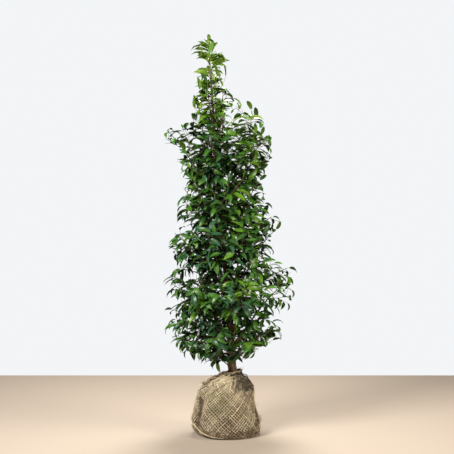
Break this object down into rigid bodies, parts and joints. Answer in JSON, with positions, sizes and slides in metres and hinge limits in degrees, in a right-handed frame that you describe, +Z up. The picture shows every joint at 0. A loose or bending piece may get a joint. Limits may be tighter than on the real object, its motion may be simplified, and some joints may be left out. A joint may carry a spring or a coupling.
{
  "type": "sapling with root ball",
  "caption": "Evergreen sapling that stands on its jute-wrapped root ball, with a leaning trunk, ascending boughs and a narrow crown of long drooping leaves.",
  "frame": {"origin": "middle of the root ball's flat underside, on the surface it stands on", "axes": "+Z up along the plant, -Y the front, +X to its right"},
  "size_m": [0.7431, 0.6629, 2.1828],
  "materials": {
    "jute": "coarse open-weave jute cloth over dark soil, threads on the slant, frayed and soiled",
    "bark": "matt brown bark with fine furrows and pale breathing pores, paler and greener towards the tip",
    "foliage": "glossy dark green leaves with a paler underside, brighter yellow-green at the shoots' ends"
  },
  "bodies": {
    "root": {"bough_low_back_left": "bark", "bough_low_back_right": "bark", "bough_low_front_left": "bark", "bough_low_front_right": "bark", "bough_low_left": "bark", "bough_low_right": "bark", "bough_middle_back_left": "bark", "bough_middle_back_right": "bark", "bough_middle_front_left": "bark", "bough_middle_front_right": "bark", "bough_middle_left": "bark", "bough_middle_right": "bark", "bough_second_leader": "bark", "bough_shoulder_left": "bark", "bough_shoulder_right": "bark", "bough_skirt_back_left": "bark", "bough_skirt_back_right": "bark", "bough_skirt_front_left": "bark", "bough_skirt_front_right": "bark", "bough_skirt_left": "bark", "bough_skirt_right": "bark", "foliage_leader_back": "foliage", "foliage_leader_front": "foliage", "foliage_leader_left": "foliage", "foliage_leader_right": "foliage", "foliage_leader_tip": "foliage", "foliage_low_back_left": "foliage", "foliage_low_back_right": "foliage", "foliage_low_front_left": "foliage", "foliage_low_front_right": "foliage", "foliage_low_left": "foliage", "foliage_low_right": "foliage", "foliage_middle_back_left": "foliage", "foliage_middle_back_right": "foliage", "foliage_middle_front_left": "foliage", "foliage_middle_front_right": "foliage", "foliage_middle_left": "foliage", "foliage_middle_right": "foliage", "foliage_second_leader": "foliage", "foliage_shoulder_back": "foliage", "foliage_shoulder_front": "foliage", "foliage_shoulder_left": "foliage", "foliage_shoulder_right": "foliage", "foliage_skirt_back_left": "foliage", "foliage_skirt_back_right": "foliage", "foliage_skirt_front_left": "foliage", "foliage_skirt_front_right": "foliage", "foliage_skirt_left": "foliage", "foliage_skirt_right": "foliage", "foliage_upper_back_left": "foliage", "foliage_upper_back_right": "foliage", "foliage_upper_front_left": "foliage", "foliage_upper_front_right": "foliage", "foliage_upper_left": "foliage", "foliage_upper_right": "foliage", "jute_flap": "jute", "jute_neck": "jute", "root_ball": "jute", "trunk": "bark"}
  },
  "joints": []
}
